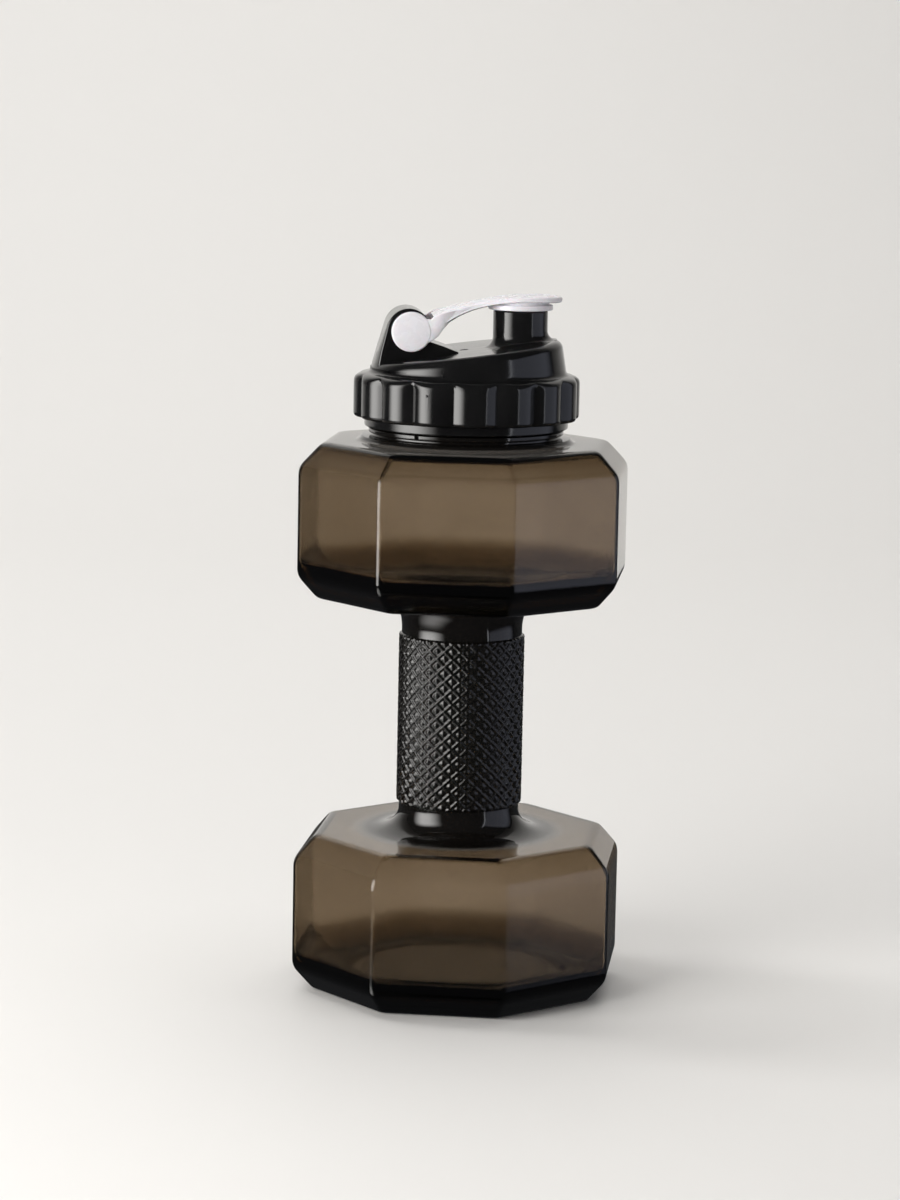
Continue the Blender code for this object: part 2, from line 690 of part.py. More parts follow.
def main():
    clear_scene()
    smoked = material("smoked_body", (0.16, 0.12, 0.09), 0.12, transmission=0.9)
    black = material("black_lid", (0.012, 0.012, 0.013), 0.18)
    white = material("white_cap", (0.80, 0.79, 0.83), 0.35)
    seal = material("seal_silicone", (0.75, 0.75, 0.74), 0.55)
    dark_seal = material("valve_silicone", (0.03, 0.03, 0.03), 0.55)
    grid_plastic = material("grid_plastic", (0.015, 0.015, 0.016), 0.30)
    steel = material("pin_steel", (0.55, 0.55, 0.56), 0.25)
    steel.node_tree.nodes["Principled BSDF"].inputs["Metallic"].default_value = 1.0

    lid_frame = empty("lid_frame", rotation=(0, 0, LID_YAW))
    tilt = Euler((0, -math.atan(DOME_PLANE_SLOPE), 0))
    vent_frame = empty("vent_frame", (VENT_X, 0, plane_z(VENT_X)), tilt, lid_frame)

    bottle_body(smoked)
    screw_lid(black, lid_frame, vent_frame)
    lid_gasket(seal)
    mixing_grid(grid_plastic, lid_frame)
    vent_valve(dark_seal, vent_frame)
    hinge_pin(steel, lid_frame)
    flip_cap(white, lid_frame)
    spout_seal(seal, lid_frame)


main()
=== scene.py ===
"""Looks of the dumbbell-shaped shaker bottle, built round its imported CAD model.

Profiles are in millimetres in the bottle's frame, or in the lid's frame, which is turned about Z by the lid's yaw.
"""

import json
import math

import bmesh
import bpy
import numpy as np
from mathutils import Matrix, Vector


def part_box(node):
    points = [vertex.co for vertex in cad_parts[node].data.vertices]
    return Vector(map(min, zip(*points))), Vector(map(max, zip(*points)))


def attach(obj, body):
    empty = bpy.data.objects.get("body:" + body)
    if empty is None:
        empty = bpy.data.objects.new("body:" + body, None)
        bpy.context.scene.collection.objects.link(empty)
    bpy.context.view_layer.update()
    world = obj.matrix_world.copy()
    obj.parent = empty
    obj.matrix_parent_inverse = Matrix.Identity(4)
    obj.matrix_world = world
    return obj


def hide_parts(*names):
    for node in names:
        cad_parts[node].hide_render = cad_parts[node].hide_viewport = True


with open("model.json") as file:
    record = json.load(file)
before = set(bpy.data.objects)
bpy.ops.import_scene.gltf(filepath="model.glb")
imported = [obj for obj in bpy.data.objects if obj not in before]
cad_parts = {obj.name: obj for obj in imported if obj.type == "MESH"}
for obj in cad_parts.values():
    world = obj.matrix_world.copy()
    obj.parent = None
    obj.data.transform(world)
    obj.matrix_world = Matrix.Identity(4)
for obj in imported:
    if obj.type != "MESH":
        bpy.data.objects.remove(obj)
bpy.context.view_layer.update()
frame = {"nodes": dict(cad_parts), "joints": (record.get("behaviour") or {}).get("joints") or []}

MM = 0.001
TAU = 2 * math.pi
OCTANT = math.pi / 4

# Places that come from the frame.
flip_joint = next(j for j in frame["joints"] if j["name"] == "flip_open")
YAW = math.atan2(flip_joint["axis"][0], -flip_joint["axis"][1])
LID = Matrix.Rotation(YAW, 4, "Z")
HINGE = LID.inverted() @ Vector(flip_joint["pos_m"]) / MM
body_low, body_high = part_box("bottle_body")
FLAT = body_high.x / MM
NECK_TOP = body_high.z / MM
cap_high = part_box("flip_cap")[1]

# The camera stands off in metres, in a frame that is turned about Z by the view's azimuth.
VIEW_AZIMUTH = math.radians(6.3)
CAMERA_PLACE = Vector((-0.0054, -1.4959, 0.3983))
CAMERA_PITCH, CAMERA_ROLL = math.radians(81.256), math.radians(1.122)
AIM = Vector((0, 0, 0.5 * (body_low.z + cap_high.z)))

# Body columns: sixteen to a diamond of the knurl.
DIAMONDS = 24
PER_DIAMOND = 16
COLUMNS = PER_DIAMOND * DIAMONDS
LID_LOBES = 16
LID_COLUMNS = 16 * LID_LOBES


def make_camera():
    """The view of the photograph: a little above the lid, a little to the right of the front flat."""
    turn = Matrix.Rotation(VIEW_AZIMUTH, 4, "Z")
    tilt = Matrix.Rotation(CAMERA_PITCH, 4, "X") @ Matrix.Rotation(CAMERA_ROLL, 4, "Z")
    data = bpy.data.cameras.new("camera")
    data.sensor_width = 36
    data.lens = 105.54
    data.clip_end = 50
    camera = bpy.data.objects.new("camera", data)
    camera.matrix_world = Matrix.Translation(turn @ CAMERA_PLACE) @ turn @ tilt
    bpy.context.scene.collection.objects.link(camera)
    bpy.context.scene.camera = camera


# ---------------------------------------------------------------- mesh helpers


def new_object(name, verts, faces, material=None):
    """A mesh object from vertices in millimetres."""
    mesh = bpy.data.meshes.new(name)
    mesh.from_pydata([tuple(v) for v in verts], [], faces)
    mesh.transform(Matrix.Scale(MM, 4))
    mesh.validate()
    obj = bpy.data.objects.new(name, mesh)
    bpy.context.scene.collection.objects.link(obj)
    if material:
        mesh.materials.append(material)
    return obj


def outward(obj):
    """Turns every face's normal outward."""
    bm = bmesh.new()
    bm.from_mesh(obj.data)
    bmesh.ops.recalc_face_normals(bm, faces=bm.faces)
    bm.to_mesh(obj.data)
    bm.free()


def smooth_shade(obj, angle):
    """Smooth shading, with edges sharper than the angle in degrees left sharp."""
    obj.data.shade_smooth()
    obj.data.set_sharp_from_angle(angle=math.radians(angle))


def loft(rings, crease_rows=()):
    """Vertices and faces of a closed solid through rings of equal length.

    Quads in crease_rows are split along the diagonal whose ends differ less in radius.
    """
    count = len(rings[0])
    verts = np.concatenate([np.asarray(r, float) for r in rings])
    radius = np.hypot(verts[:, 0], verts[:, 1])
    faces = []
    for low in range(len(rings) - 1):
        for i in range(count):
            j = (i + 1) % count
            a, b = low * count + i, low * count + j
            c, d = b + count, a + count
            if low not in crease_rows:
                faces.append((a, b, c, d))
            elif abs(radius[a] - radius[c]) < abs(radius[b] - radius[d]):
                faces += [(a, b, c), (a, c, d)]
            else:
                faces += [(a, b, d), (b, c, d)]
    last = (len(rings) - 1) * count
    faces.append(tuple(range(count - 1, -1, -1)))
    faces.append(tuple(range(last, last + count)))
    return verts, faces


def circle(radius, z, columns, x=0.0, slope=0.0):
    """A ring round the vertical axis at x. With a slope it lies in a plane that rises along X."""
    angle = np.arange(columns) * TAU / columns
    xs = x + radius * np.cos(angle)
    return np.stack([xs, radius * np.sin(angle), z + slope * xs], axis=1)


def rounded_octagon(apothem, corner, z):
    """A ring with flats facing X and Y and its corners rounded; a corner as large as the apothem is a circle."""
    per = COLUMNS // 8
    t = np.arange(per) / per
    half_flat = (apothem - corner) * math.tan(OCTANT / 2)
    arc = corner * OCTANT
    share = max(arc / (arc + 2 * half_flat), 0.30)
    start = (1 - share) / 2
    theta = np.clip((t - start) / share, 0, 1) * OCTANT
    hub = (apothem - corner) / math.cos(OCTANT / 2)
    x = hub * math.cos(OCTANT / 2) + corner * np.cos(theta)
    y = hub * math.sin(OCTANT / 2) + corner * np.sin(theta)
    if start > 0:
        before, after = t < start, t > 1 - start
        x[before] = apothem
        y[before] = half_flat * t[before] / start
        along = half_flat * (1 - t[after]) / start
        x[after] = (apothem + along) * math.cos(OCTANT)
        y[after] = (apothem - along) * math.sin(OCTANT)
    ring = []
    for k in range(8):
        c, s = math.cos(k * OCTANT), math.sin(k * OCTANT)
        ring.append(np.stack([x * c - y * s, x * s + y * c, np.full(per, z)], axis=1))
    return np.concatenate(ring)


def rounded_path(points, steps=5, hold=0.35):
    """Rows of numbers whose last one is a rounding: each such corner becomes a curve with a row held close by."""
    rows = [np.array(p[:-1], float) for p in points]
    out = [rows[0]]
    for k in range(1, len(rows) - 1):
        cut = points[k][-1]
        if cut <= 0:
            out.append(rows[k])
            continue
        back, ahead = rows[k - 1] - rows[k], rows[k + 1] - rows[k]
        back_size = math.hypot(back[0], back[-1])
        ahead_size = math.hypot(ahead[0], ahead[-1])
        cut = min(cut, 0.45 * back_size, 0.45 * ahead_size)
        first = rows[k] + back * cut / back_size
        last = rows[k] + ahead * cut / ahead_size
        out.append(rows[k] + back * min(0.48, (cut + hold) / back_size))
        for i in range(steps + 1):
            t = i / steps
            out.append((1 - t) ** 2 * first + 2 * t * (1 - t) * rows[k] + t * t * last)
        out.append(rows[k] + ahead * min(0.48, (cut + hold) / ahead_size))
    out.append(rows[-1])
    return out


def evaluated(obj):
    """The object with its modifiers applied."""
    graph = bpy.context.evaluated_depsgraph_get()
    mesh = bpy.data.meshes.new_from_object(obj.evaluated_get(graph))
    obj.modifiers.clear()
    obj.data = mesh
    return obj


def combine(obj, other, operation):
    """A boolean with another object, which is then removed."""
    modifier = obj.modifiers.new(operation, "BOOLEAN")
    modifier.operation = operation
    modifier.solver = "EXACT"
    modifier.object = other
    evaluated(obj)
    bpy.data.objects.remove(other)


# ---------------------------------------------------------------- bottle body

BLOCK_CHAMFER = 59.3
EDGE = 2.8
LOWER_TOP = 68.2
UPPER_BOTTOM = 170.2
UPPER_TOP = 237.3
HANDLE = 25.9
BAND_FLOOR = 0.45
KNURL_HEIGHT = 0.85
KNURL_PITCH = 6.45
KNURL_BEAD = 146.6
KNURL_START = math.radians(-84.375)
KNURL_FIRST, KNURL_LAST = -164, 19
NECK = 40.3
NICK_COLUMN = 263
THREAD_BOTTOM, THREAD_LEAD, THREAD_ARC, THREAD_CREST = 250.0, 10.0, math.radians(160), 41.8


def octagon_rows(points, steps=5):
    return [rounded_octagon(a, min(c, a), z) for a, c, z in rounded_path(points, steps)]


def lattice(value):
    """Distance to the nearest whole number, from 0 to 0.5."""
    return np.abs((value + 0.5) % 1 - 0.5)


def knurl_rows():
    """The grip's rings: crossing ridges with a soft pyramid in each diamond, let down to the collar at both ends."""
    heights = KNURL_BEAD + KNURL_PITCH / PER_DIAMOND * np.arange(KNURL_FIRST, KNURL_LAST + 1)
    angle = np.arange(COLUMNS) * TAU / COLUMNS
    u = (angle - KNURL_START) / TAU * DIAMONDS
    rows = []
    for z in heights:
        v = (z - KNURL_BEAD) / KNURL_PITCH
        one, two = lattice(u + v), lattice(u - v)
        ridge = 0.88 * np.exp(-(((0.5 - np.maximum(one, two)) / 0.125) ** 2))
        out = (one**5 + two**5) ** 0.2
        bead = np.clip(1.18 - np.sqrt((out / 0.27) ** 2 + 0.07), 0, 1)
        ends = np.clip(min(z - heights[0], heights[-1] - z) / 0.7, 0, 1)
        radius = HANDLE + ends * (BAND_FLOOR + KNURL_HEIGHT * np.maximum(ridge, bead))
        rows.append(np.stack([radius * np.cos(angle), radius * np.sin(angle), np.full(COLUMNS, z)], axis=1))
    below = [rounded_octagon(HANDLE, HANDLE, heights[0] - gap) for gap in (0.6, 0.1)]
    above = [rounded_octagon(HANDLE, HANDLE, heights[-1] + gap) for gap in (0.1, 0.6)]
    return below + rows + above


def neck_ring(z):
    """A ring of the neck, swollen where one of the two thread ridges passes."""
    angle = np.arange(COLUMNS) * TAU / COLUMNS
    radius = np.full(COLUMNS, NECK)
    for start in (0, math.pi):
        turned = (angle - start) % TAU
        share = turned / THREAD_ARC
        off = np.abs(z - (THREAD_BOTTOM + THREAD_LEAD * turned / TAU))
        fade = np.clip(0.25 + 5 * np.minimum(share, 1 - share), 0, 1)
        ridge = np.where(share <= 1, fade * np.clip((1.0 - off) / 0.42, 0, 1), 0)
        radius = np.maximum(radius, NECK + (THREAD_CREST - NECK) * ridge)
    return np.stack([radius * np.cos(angle), radius * np.sin(angle), np.full(COLUMNS, z)], axis=1)


def nick_bead(rings):
    """The mould's parting line, a nick across the neck's bead on both sides."""
    for ring in rings:
        if 240.7 < ring[0][2] < 242.9 and math.hypot(ring[0][0], ring[0][1]) > 41:
            for column in (NICK_COLUMN, NICK_COLUMN - COLUMNS // 2):
                ring[column][:2] *= 40.5 / math.hypot(ring[column][0], ring[column][1])


def flare(inner, flat_z, tube_z, spread, steps=9):
    """A hollow-curved cone from a flat at flat_z to a tube at tube_z."""
    rings = []
    for k in range(steps + 1):
        a = math.pi / 2 * k / steps
        radius = inner + spread * (1 - math.sin(a)) ** 1.25
        rings.append(rounded_octagon(radius, radius, tube_z + (flat_z - tube_z) * math.cos(a) ** 1.1))
    return rings


def make_body(material):
    """One shell: outside from the punt upward, over the neck's rim, and down the inside."""
    side = FLAT
    chamfer = 10.4
    lower_out = [
        (4, 4, 3.0, 0),
        (43.5, 43.5, 3.0, 2.0),
        (48.0, 48.0, 0.0, 1.2),
        (BLOCK_CHAMFER, EDGE, 0.0, 1.6),
        (side, EDGE, chamfer, 3.2),
        (side, EDGE, LOWER_TOP - chamfer, 3.2),
        (BLOCK_CHAMFER, EDGE, LOWER_TOP, 2.6),
        (40.5, 40.5, LOWER_TOP, 0),
    ]
    rings = octagon_rows(lower_out)
    rings += flare(HANDLE, LOWER_TOP, 79.0, 13.5)
    first_knurl = len(rings)
    knurl = knurl_rows()
    rings += knurl
    crease = set(range(first_knurl, first_knurl + len(knurl) - 1))
    rings += reversed(flare(HANDLE, UPPER_BOTTOM, 156.0, 11.0))
    upper_out = [
        (37.5, 37.5, UPPER_BOTTOM, 0),
        (BLOCK_CHAMFER, EDGE, UPPER_BOTTOM, 2.6),
        (side, EDGE, UPPER_BOTTOM + chamfer, 3.2),
        (side, EDGE, UPPER_TOP - chamfer, 3.2),
        (58.4, EDGE, UPPER_TOP, 2.6),
        (46.6, 46.6, UPPER_TOP, 0.8),
        (45.2, 45.2, 238.3, 0.5),
        (44.6, 44.6, 239.3, 0.4),
        (40.6, 40.6, 239.6, 0.4),
        (40.4, 40.4, 240.6, 0.2),
        (41.6, 41.6, 240.9, 0.3),
        (41.7, 41.7, 242.7, 0.3),
        (NECK, NECK, 243.0, 0.2),
        (NECK, NECK, 248.4, 0),
    ]
    rings += octagon_rows(upper_out, 4)
    nick_bead(rings)
    rings += [neck_ring(z) for z in np.arange(248.7, 255.9, 0.2)]
    upper_in = [
        (NECK, NECK, 256.2, 0),
        (NECK, NECK, NECK_TOP, 0.5),
        (38.0, 38.0, NECK_TOP, 0.5),
        (38.0, 38.0, 244.0, 1.5),
        (39.5, 39.5, 236.0, 3.0),
        (43.5, 43.5, UPPER_TOP - 5.2, 1.5),
        (50.0, 20.0, UPPER_TOP - 4.2, 4.0),
        (57.0, EDGE, UPPER_TOP - 2.4, 2.2),
        (side - 1.6, EDGE - 0.8, UPPER_TOP - chamfer - 0.8, 2.8),
        (side - 1.6, EDGE - 0.8, UPPER_BOTTOM + chamfer + 5.0, 3.4),
        (57.0, EDGE, UPPER_BOTTOM + 6.4, 4.0),
        (46.0, 20.0, UPPER_BOTTOM + 4.2, 4.0),
        (33.5, 33.5, UPPER_BOTTOM + 1.7, 0),
    ]
    rings += octagon_rows(upper_in, 4)
    rings += flare(21.6, UPPER_BOTTOM + 1.7, 162.0, 11.0, 6)
    rings += reversed(flare(21.6, LOWER_TOP - 1.7, 77.5, 12.5, 6))
    lower_in = [
        (36.0, 36.0, LOWER_TOP - 1.7, 0),
        (58.0, EDGE, LOWER_TOP - 1.7, 2.2),
        (side - 1.6, EDGE - 0.8, LOWER_TOP - chamfer - 0.5, 2.8),
        (side - 1.6, EDGE - 0.8, chamfer + 4.5, 3.4),
        (56.5, EDGE, 6.0, 4.0),
        (47.5, 30.0, 4.4, 2.0),
        (42.0, 42.0, 6.6, 3.0),
        (4, 4, 6.4, 0),
    ]
    rings += octagon_rows(lower_in, 4)
    verts, faces = loft(rings, crease)
    body = new_object("bottle_shell", verts, faces, material)
    outward(body)
    smooth_shade(body, 62)
    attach(body, "bottle")
    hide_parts("bottle_body")
    return body


# ---------------------------------------------------------------- screw lid

PLANE_Z, PLANE_SLOPE = 276.3, 0.130
DOME_X, DOME_R, DOME_TAPER = 0.4, 42.0, 0.165
SHOULDER_Z = 266.4
RING_LOW, RING_HIGH, RING_R = 247.2, 263.9, 48.3
LOBE_DEPTH = 2.8
SPOUT_X, SPOUT_R, SPOUT_BORE, SPOUT_TOP = 22.3, 11.65, 10.0, 293.3
SPOUT_FILLET = 4.1
LID_THREAD_BOTTOM = 247.7
VENT_X, VENT_HOLE_R, VENT_SOCKET_R, VENT_BOSS_R = -1.5, 1.95, 3.9, 5.2
PIN_HOLE_R = 2.5


def plane_z(x):
    return PLANE_Z + PLANE_SLOPE * x


def dome_radius(z):
    return DOME_R - DOME_TAPER * (z - SHOULDER_Z)


def lobed(radius, z, depth):
    """Convex lobes that meet in narrow valleys."""
    angle = np.arange(LID_COLUMNS) * TAU / LID_COLUMNS
    across = (np.arange(LID_COLUMNS) * LID_LOBES / LID_COLUMNS + 0.5) % 1 * 2 - 1
    r = radius - depth * np.abs(across) ** 2.1
    return np.stack([r * np.cos(angle), r * np.sin(angle), np.full(LID_COLUMNS, z)], axis=1)


def dome_ring(drop, inset):
    """A ring on the dome's wall, drop below its sloping top and inset from the wall."""
    angle = np.arange(LID_COLUMNS) * TAU / LID_COLUMNS
    height = PLANE_Z - drop
    r = DOME_R - DOME_TAPER * (height + PLANE_SLOPE * DOME_X - SHOULDER_Z)
    r = r / (1 + DOME_TAPER * PLANE_SLOPE * np.cos(angle)) - inset
    x = DOME_X + r * np.cos(angle)
    return np.stack([x, r * np.sin(angle), height + PLANE_SLOPE * x], axis=1)


def dome_rings():
    edge = 3.6
    rings = [dome_ring(0, 39.0), dome_ring(0, 20.0), dome_ring(0, edge + 0.5)]
    for k in range(9):
        a = math.pi / 2 * k / 8
        rings.append(dome_ring(edge * (1 - math.cos(a)), edge * (1 - math.sin(a))))
    rings.append(dome_ring(edge + 0.6, 0))
    n = LID_COLUMNS
    for z in (268.6, 267.6):
        rings.append(circle(dome_radius(z), z, n, DOME_X))
    rings += [
        circle(DOME_R + 0.25, 266.95, n, DOME_X),
        circle(DOME_R + 0.75, 266.5, n, DOME_X),
        circle(43.6, 266.25, n),
        circle(45.2, 265.9, n),
        lobed(46.7, 265.3, 0.30 * LOBE_DEPTH),
        lobed(47.7, 264.5, 0.62 * LOBE_DEPTH),
        lobed(48.15, 263.6, 0.88 * LOBE_DEPTH),
        lobed(RING_R, 262.6, LOBE_DEPTH),
        lobed(RING_R, 262.0, LOBE_DEPTH),
        lobed(RING_R, 249.2, LOBE_DEPTH),
        lobed(RING_R - 0.1, 248.5, LOBE_DEPTH),
        lobed(RING_R - 0.5, 247.8, 0.95 * LOBE_DEPTH),
        lobed(RING_R - 1.3, 247.35, 0.8 * LOBE_DEPTH),
        lobed(RING_R - 2.2, RING_LOW, 0.6 * LOBE_DEPTH),
        circle(44.4, RING_LOW, n),
    ]
    inner = [
        (43.55, 247.1),
        (43.5, 246.8),
        (43.5, 244.3),
        (43.4, 243.75),
        (43.0, 243.5),
        (42.4, 243.5),
        (42.3, 243.8),
        (42.3, 264.2),
        (37.0, 264.2),
        (37.0, 258.9),
        (36.8, 258.5),
        (35.8, 258.5),
        (35.6, 258.8),
        (35.6, 266.4),
    ]
    rings += [circle(r, z, n) for r, z in inner]
    rings.append(dome_ring(4.2, 3.6))
    rings.append(dome_ring(2.4, 4.8))
    return rings


def make_spout_solid():
    """The spout with its fillet, which follows the lid's slope."""
    n = 96
    rings = [circle(SPOUT_R + SPOUT_FILLET, PLANE_Z - 1.6, n, SPOUT_X, PLANE_SLOPE)]
    for k in range(9):
        a = math.pi / 2 * k / 8
        r = SPOUT_R + SPOUT_FILLET * (1 - math.sin(a))
        rings.append(circle(r, PLANE_Z - 0.02 + 4.3 * (1 - math.cos(a)), n, SPOUT_X, PLANE_SLOPE))
    rings.append(circle(SPOUT_R, 288.0, n, SPOUT_X))
    for k in range(6):
        a = math.pi / 2 * k / 5
        rings.append(circle(SPOUT_R - 0.7 * (1 - math.cos(a)), SPOUT_TOP - 0.7 * (1 - math.sin(a)), n, SPOUT_X))
    verts, faces = loft(rings)
    return new_object("spout_solid", verts, faces)


def lug_outline(inset):
    """The hinge block's side view, drawn in by an inset."""
    nose_x, nose_z, nose_r = -25.9, 284.8, 9.3 - inset
    points = [(-42.0, 268.0), (-41.2 + inset, 270.6), (-38.6 + inset, 275.8)]
    first, last = math.radians(163), math.radians(-27)
    for k in range(29):
        a = first + (last - first) * k / 28
        points.append((nose_x + nose_r * math.cos(a), nose_z + nose_r * math.sin(a)))
    points += [
        (-16.6, 280.15 - inset),
        (-11.0, 278.3 - inset),
        (-4.9 - inset, plane_z(-4.9) + 0.35 - 0.4 * inset),
        (-4.4 - inset, plane_z(-4.4) - 1.2),
    ]
    return points


def make_lug_solid():
    """The hinge block, lofted across its width, with its rear kept inside the dome's cone."""
    half, soft = 12.8, 0.8
    edge = []
    for k in range(5):
        a = math.pi / 2 * k / 4
        edge.append((half - soft * (1 - math.sin(a)), soft * (1 - math.cos(a))))
    low = [(-y, inset) for y, inset in reversed(edge)]
    middle = [(y, 0.0) for y in np.linspace(low[-1][0], edge[0][0], 12)[1:-1]]
    rings = []
    for y, inset in low + middle + edge:
        ring = []
        for x, z in lug_outline(inset):
            limit = DOME_X - math.sqrt(max(0.0, (dome_radius(z) - 0.4) ** 2 - y * y)) + inset
            ring.append((max(x, limit), y, z))
        rings.append(np.array(ring))
    verts, faces = loft(rings)
    lug = new_object("lug_solid", verts, faces)
    outward(lug)
    return lug


def tilted_cylinder(radius, low, high, columns=48):
    """A cylinder square to the lid's slope, at the vent."""
    tilt = Matrix.Rotation(-math.atan(PLANE_SLOPE), 4, "Y")
    centre = Vector((VENT_X, 0, plane_z(VENT_X)))
    rings = []
    for z in (low, high):
        ring = circle(radius, z, columns)
        rings.append(np.array([tilt @ Vector(p) + centre for p in ring]))
    verts, faces = loft(rings)
    return new_object("vent_cylinder", verts, faces)


def across_cylinder(radius, half, columns=48):
    """A cylinder along the hinge axis."""
    angle = np.arange(columns) * TAU / columns
    rings = []
    for y in (-half, half):
        x = HINGE.x + radius * np.cos(angle)
        rings.append(np.stack([x, np.full(columns, y), HINGE.z + radius * np.sin(angle)], axis=1))
    verts, faces = loft(rings)
    return new_object("across_cylinder", verts, faces)


def thread_ridge(start):
    """One of the lid's two thread ridges, from the angle start upward, with its root sunk in the skirt."""
    steps = 48
    root, depth = 42.9, 2.0
    sections = []
    for k in range(steps + 1):
        share = k / steps
        angle = start + THREAD_ARC * share
        z = LID_THREAD_BOTTOM + THREAD_LEAD * THREAD_ARC / TAU * share
        crest = root - depth * min(1.0, 0.25 + 5 * min(share, 1 - share))
        outline = ((root, -1.0), (crest + 0.3, -0.65), (crest, -0.4), (crest, 0.4), (crest + 0.3, 0.65), (root, 1.0))
        sections.append([(r * math.cos(angle), r * math.sin(angle), z + dz) for r, dz in outline])
    verts, faces = loft([np.array(s) for s in sections])
    ridge = new_object("thread_ridge", verts, faces)
    outward(ridge)
    return ridge


def nub(radius, degrees, z, size):
    """A tiny moulding nub on the lid's side."""
    mesh = bmesh.new()
    bmesh.ops.create_icosphere(mesh, subdivisions=3, radius=size)
    angle = math.radians(degrees)
    place = Matrix.Translation((radius * math.cos(angle), radius * math.sin(angle), z))
    bmesh.ops.transform(mesh, matrix=Matrix.Scale(MM, 4) @ place, verts=mesh.verts)
    data = bpy.data.meshes.new("nub")
    mesh.to_mesh(data)
    mesh.free()
    obj = bpy.data.objects.new("nub", data)
    bpy.context.scene.collection.objects.link(obj)
    return obj


def make_lid(material):
    verts, faces = loft(dome_rings())
    lid = new_object("lid_shell", verts, faces)
    outward(lid)
    for solid in (make_spout_solid(), make_lug_solid(), tilted_cylinder(VENT_BOSS_R, -4.4, -1.1)):
        outward(solid)
        combine(lid, solid, "UNION")
    combine(lid, nub(48.1, -114.5, 260.2, 0.55), "UNION")
    combine(lid, nub(41.9, -108.5, 268.4, 0.5), "UNION")
    for k in range(2):
        combine(lid, thread_ridge(math.pi * k - YAW), "UNION")
    n = 96
    bore = [circle(SPOUT_BORE, 268.0, n, SPOUT_X), circle(SPOUT_BORE, 292.8, n, SPOUT_X)]
    bore += [circle(SPOUT_BORE + 0.5, 293.31, n, SPOUT_X), circle(SPOUT_BORE + 0.6, 296.0, n, SPOUT_X)]
    verts, faces = loft(bore)
    cutters = [new_object("bore", verts, faces)]
    cutters += [tilted_cylinder(VENT_HOLE_R, -3.0, 3.0), tilted_cylinder(VENT_SOCKET_R, -7.0, -2.2)]
    cutters.append(across_cylinder(PIN_HOLE_R, 15.0))
    for cutter in cutters:
        outward(cutter)
        combine(lid, cutter, "DIFFERENCE")
    lid.data.transform(LID)
    lid.data.materials.clear()
    lid.data.materials.append(material)
    smooth_shade(lid, 38)
    weighted = lid.modifiers.new("even normals", "WEIGHTED_NORMAL")
    weighted.keep_sharp = True
    weighted.weight = 60
    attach(lid, "lid")
    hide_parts("screw_lid")
    return lid


# ---------------------------------------------------------------- flip cap

PLATE_REACH = 17.8
EAR_R, EAR_INNER, EAR_OUTER = 8.4, 13.1, 16.2


def bezier(points, t):
    a, b, c, d = (np.array(p, float) for p in points)
    s = 1 - t
    return a * s**3 + b * (3 * s * s * t) + c * (3 * s * t * t) + d * t**3


def polar(radius, degrees):
    angle = math.radians(degrees)
    return (HINGE.x + radius * math.cos(angle), HINGE.z + radius * math.sin(angle))


def ease(t):
    t = min(1.0, max(0.0, t))
    return t * t * (3 - 2 * t)


def arm_half_width(x):
    """The flip cap in plan: wide at the hinge, a waist, then an oval plate over the spout."""
    plate, waist, root = 14.2, 11.2, 16.0
    if x > SPOUT_X:
        return plate * math.sqrt(max(0.0, 1 - ((x - SPOUT_X) / PLATE_REACH) ** 2))
    waist_x = 4.0
    if x > waist_x:
        return waist + (plate - waist) * ease((x - waist_x) / (SPOUT_X - waist_x))
    root_x = HINGE.x + 12.0
    return waist + (root - waist) * ease((waist_x - x) / (waist_x - root_x))


def section(low, top, low_width, top_width, points=28):
    """A soft-cornered cross-section between a low and a top point of the arm's side view."""
    ring = []
    for k in range(points):
        a = TAU * k / points
        c, s = math.cos(a), math.sin(a)
        across = math.copysign(abs(c) ** 0.42, c)
        up = 0.5 + 0.5 * math.copysign(abs(s) ** 0.55, s)
        x = low[0] + (top[0] - low[0]) * up
        z = low[1] + (top[1] - low[1]) * up
        width = low_width + (top_width - low_width) * up
        if up > 0.5:
            # The upper half is a little narrower, and crowned.
            width *= 0.94
            z += 0.25 * (1 - across * across) * (2 * up - 1) - 0.25
        ring.append((x, across * width, z))
    return np.array(ring)


# The arm's underside and its top, as Bezier curves in the lid's XZ plane, and the plate past them.
LOW_CURVE = (polar(11.5, -6), (-8.0, 291.5), (6.0, 296.4), (24.0, 297.0))
TOP_CURVE = (polar(11.5, 35), (-5.0, 296.0), (12.0, 300.0), (30.0, 300.0))


def arm_rings():
    rings = []
    for k in range(33):
        low, top = bezier(LOW_CURVE, k / 32), bezier(TOP_CURVE, k / 32)
        rings.append(section(low, top, arm_half_width(low[0]), arm_half_width(top[0])))
    tip = SPOUT_X + PLATE_REACH
    for share in (0.12, 0.25, 0.38, 0.5, 0.62, 0.73, 0.82, 0.9, 0.95, 0.985):
        end = min(1.0, max(0.0, (share - 0.8) / 0.19))
        round_off = 0.9 * (1 - math.sqrt(1 - end * end))
        (low_x, low_z), (top_x, top_z) = LOW_CURVE[-1], TOP_CURVE[-1]
        low = (low_x + (tip - 0.2 - low_x) * share, low_z - 0.3 * share + round_off)
        top = (top_x + (tip - top_x) * share, top_z - 0.6 * share * share - round_off)
        rings.append(section(low, top, arm_half_width(low[0]), arm_half_width(top[0])))
    return rings


